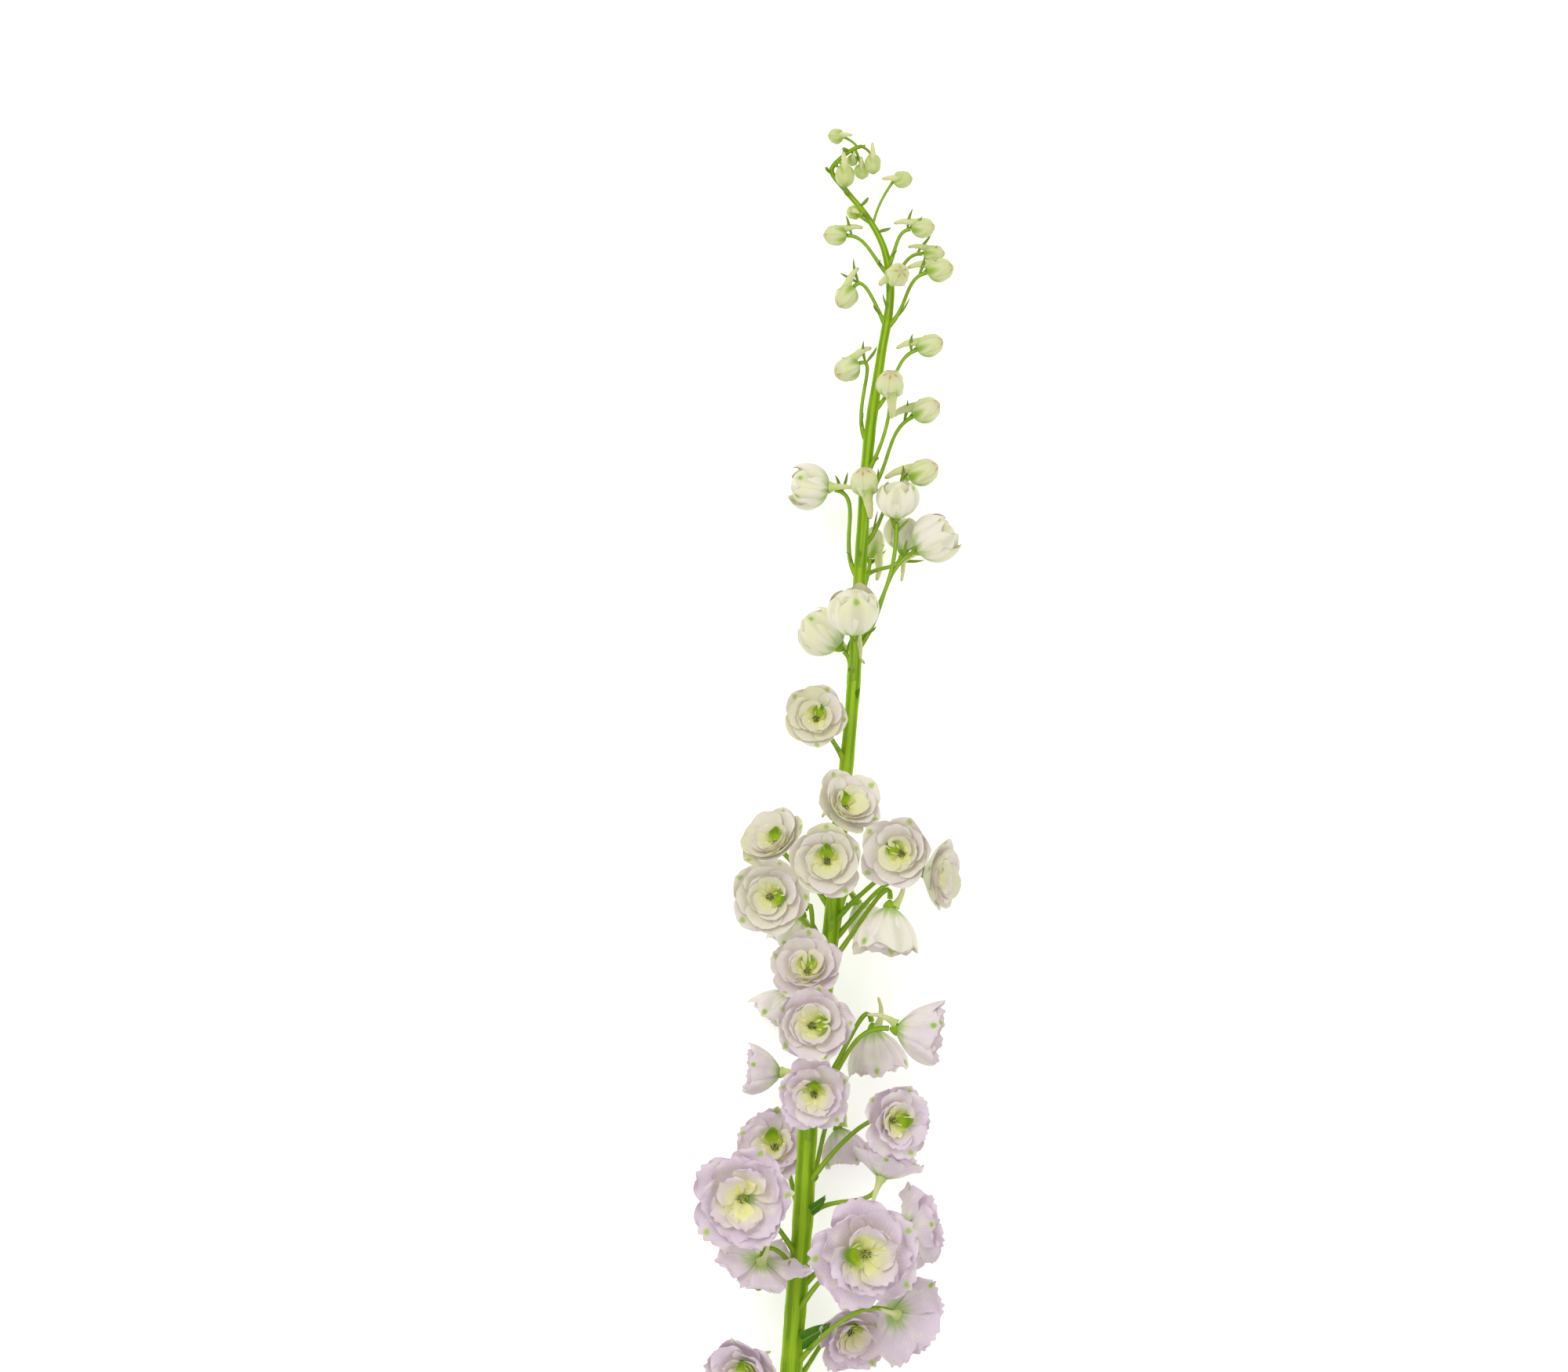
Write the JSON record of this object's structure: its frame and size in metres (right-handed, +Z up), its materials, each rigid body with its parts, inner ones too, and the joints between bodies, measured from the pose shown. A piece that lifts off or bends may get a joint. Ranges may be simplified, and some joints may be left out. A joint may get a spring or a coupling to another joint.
{
  "type": "delphinium flower spike",
  "caption": "Cut spike of double delphinium lying down: white and lilac ruffled blooms on a ribbed green stem, with cupped half-open blooms, spurred buds and a nodding tip.",
  "frame": {"origin": "on the surface that the spike lies on, under the middle of its length and width", "axes": "+Y along the stem towards the nodding tip, +Z up from the surface, +X to the right seen from above"},
  "size_m": [0.1369, 0.8187, 0.091],
  "materials": {
    "stem": "green, ribbed, faintly waxy",
    "bud": "cream green, matte",
    "cup": "white flushed with green, soft sheen",
    "petal_white": "white with a lilac rim, soft sheen",
    "petal_lilac": "pale lilac, soft sheen",
    "eye": "yellow green, matte"
  },
  "bodies": {
    "root": {"stem": "stem", "bud_01": "bud", "bud_02": "bud", "bud_03": "bud", "bud_04": "bud", "bud_05": "bud", "bud_06": "bud", "bud_07": "bud", "bud_08": "bud", "bud_09": "bud", "bud_10": "bud", "bud_11": "bud", "bud_12": "bud", "bud_13": "bud", "cup_01": "cup", "cup_02": "cup", "cup_03": "cup", "cup_04": "cup", "cup_05": "cup", "cup_06": "cup", "bloom_01": "petal_white", "eye_01": "eye", "bloom_02": "petal_white", "bloom_03": "petal_white", "eye_03": "eye", "bloom_04": "petal_white", "eye_04": "eye", "bloom_05": "petal_white", "bloom_06": "petal_white", "eye_06": "eye", "bloom_07": "petal_white", "bloom_08": "petal_white", "bloom_09": "petal_white", "bloom_10": "petal_white", "bloom_11": "petal_white", "eye_11": "eye", "bloom_12": "petal_white", "eye_12": "eye", "bloom_13": "petal_white", "eye_13": "eye", "bloom_14": "petal_white", "bloom_15": "petal_white", "bloom_16": "petal_white", "bloom_17": "petal_white", "eye_17": "eye", "bloom_18": "petal_white", "bloom_19": "petal_lilac", "eye_19": "eye", "bloom_20": "petal_lilac", "bloom_21": "petal_lilac", "bloom_22": "petal_lilac", "bloom_23": "petal_lilac", "eye_23": "eye", "bloom_24": "petal_lilac", "bloom_25": "petal_lilac", "bloom_26": "petal_lilac", "bloom_27": "petal_lilac", "eye_27": "eye", "bloom_28": "petal_white", "bloom_29": "petal_lilac"}
  },
  "joints": []
}
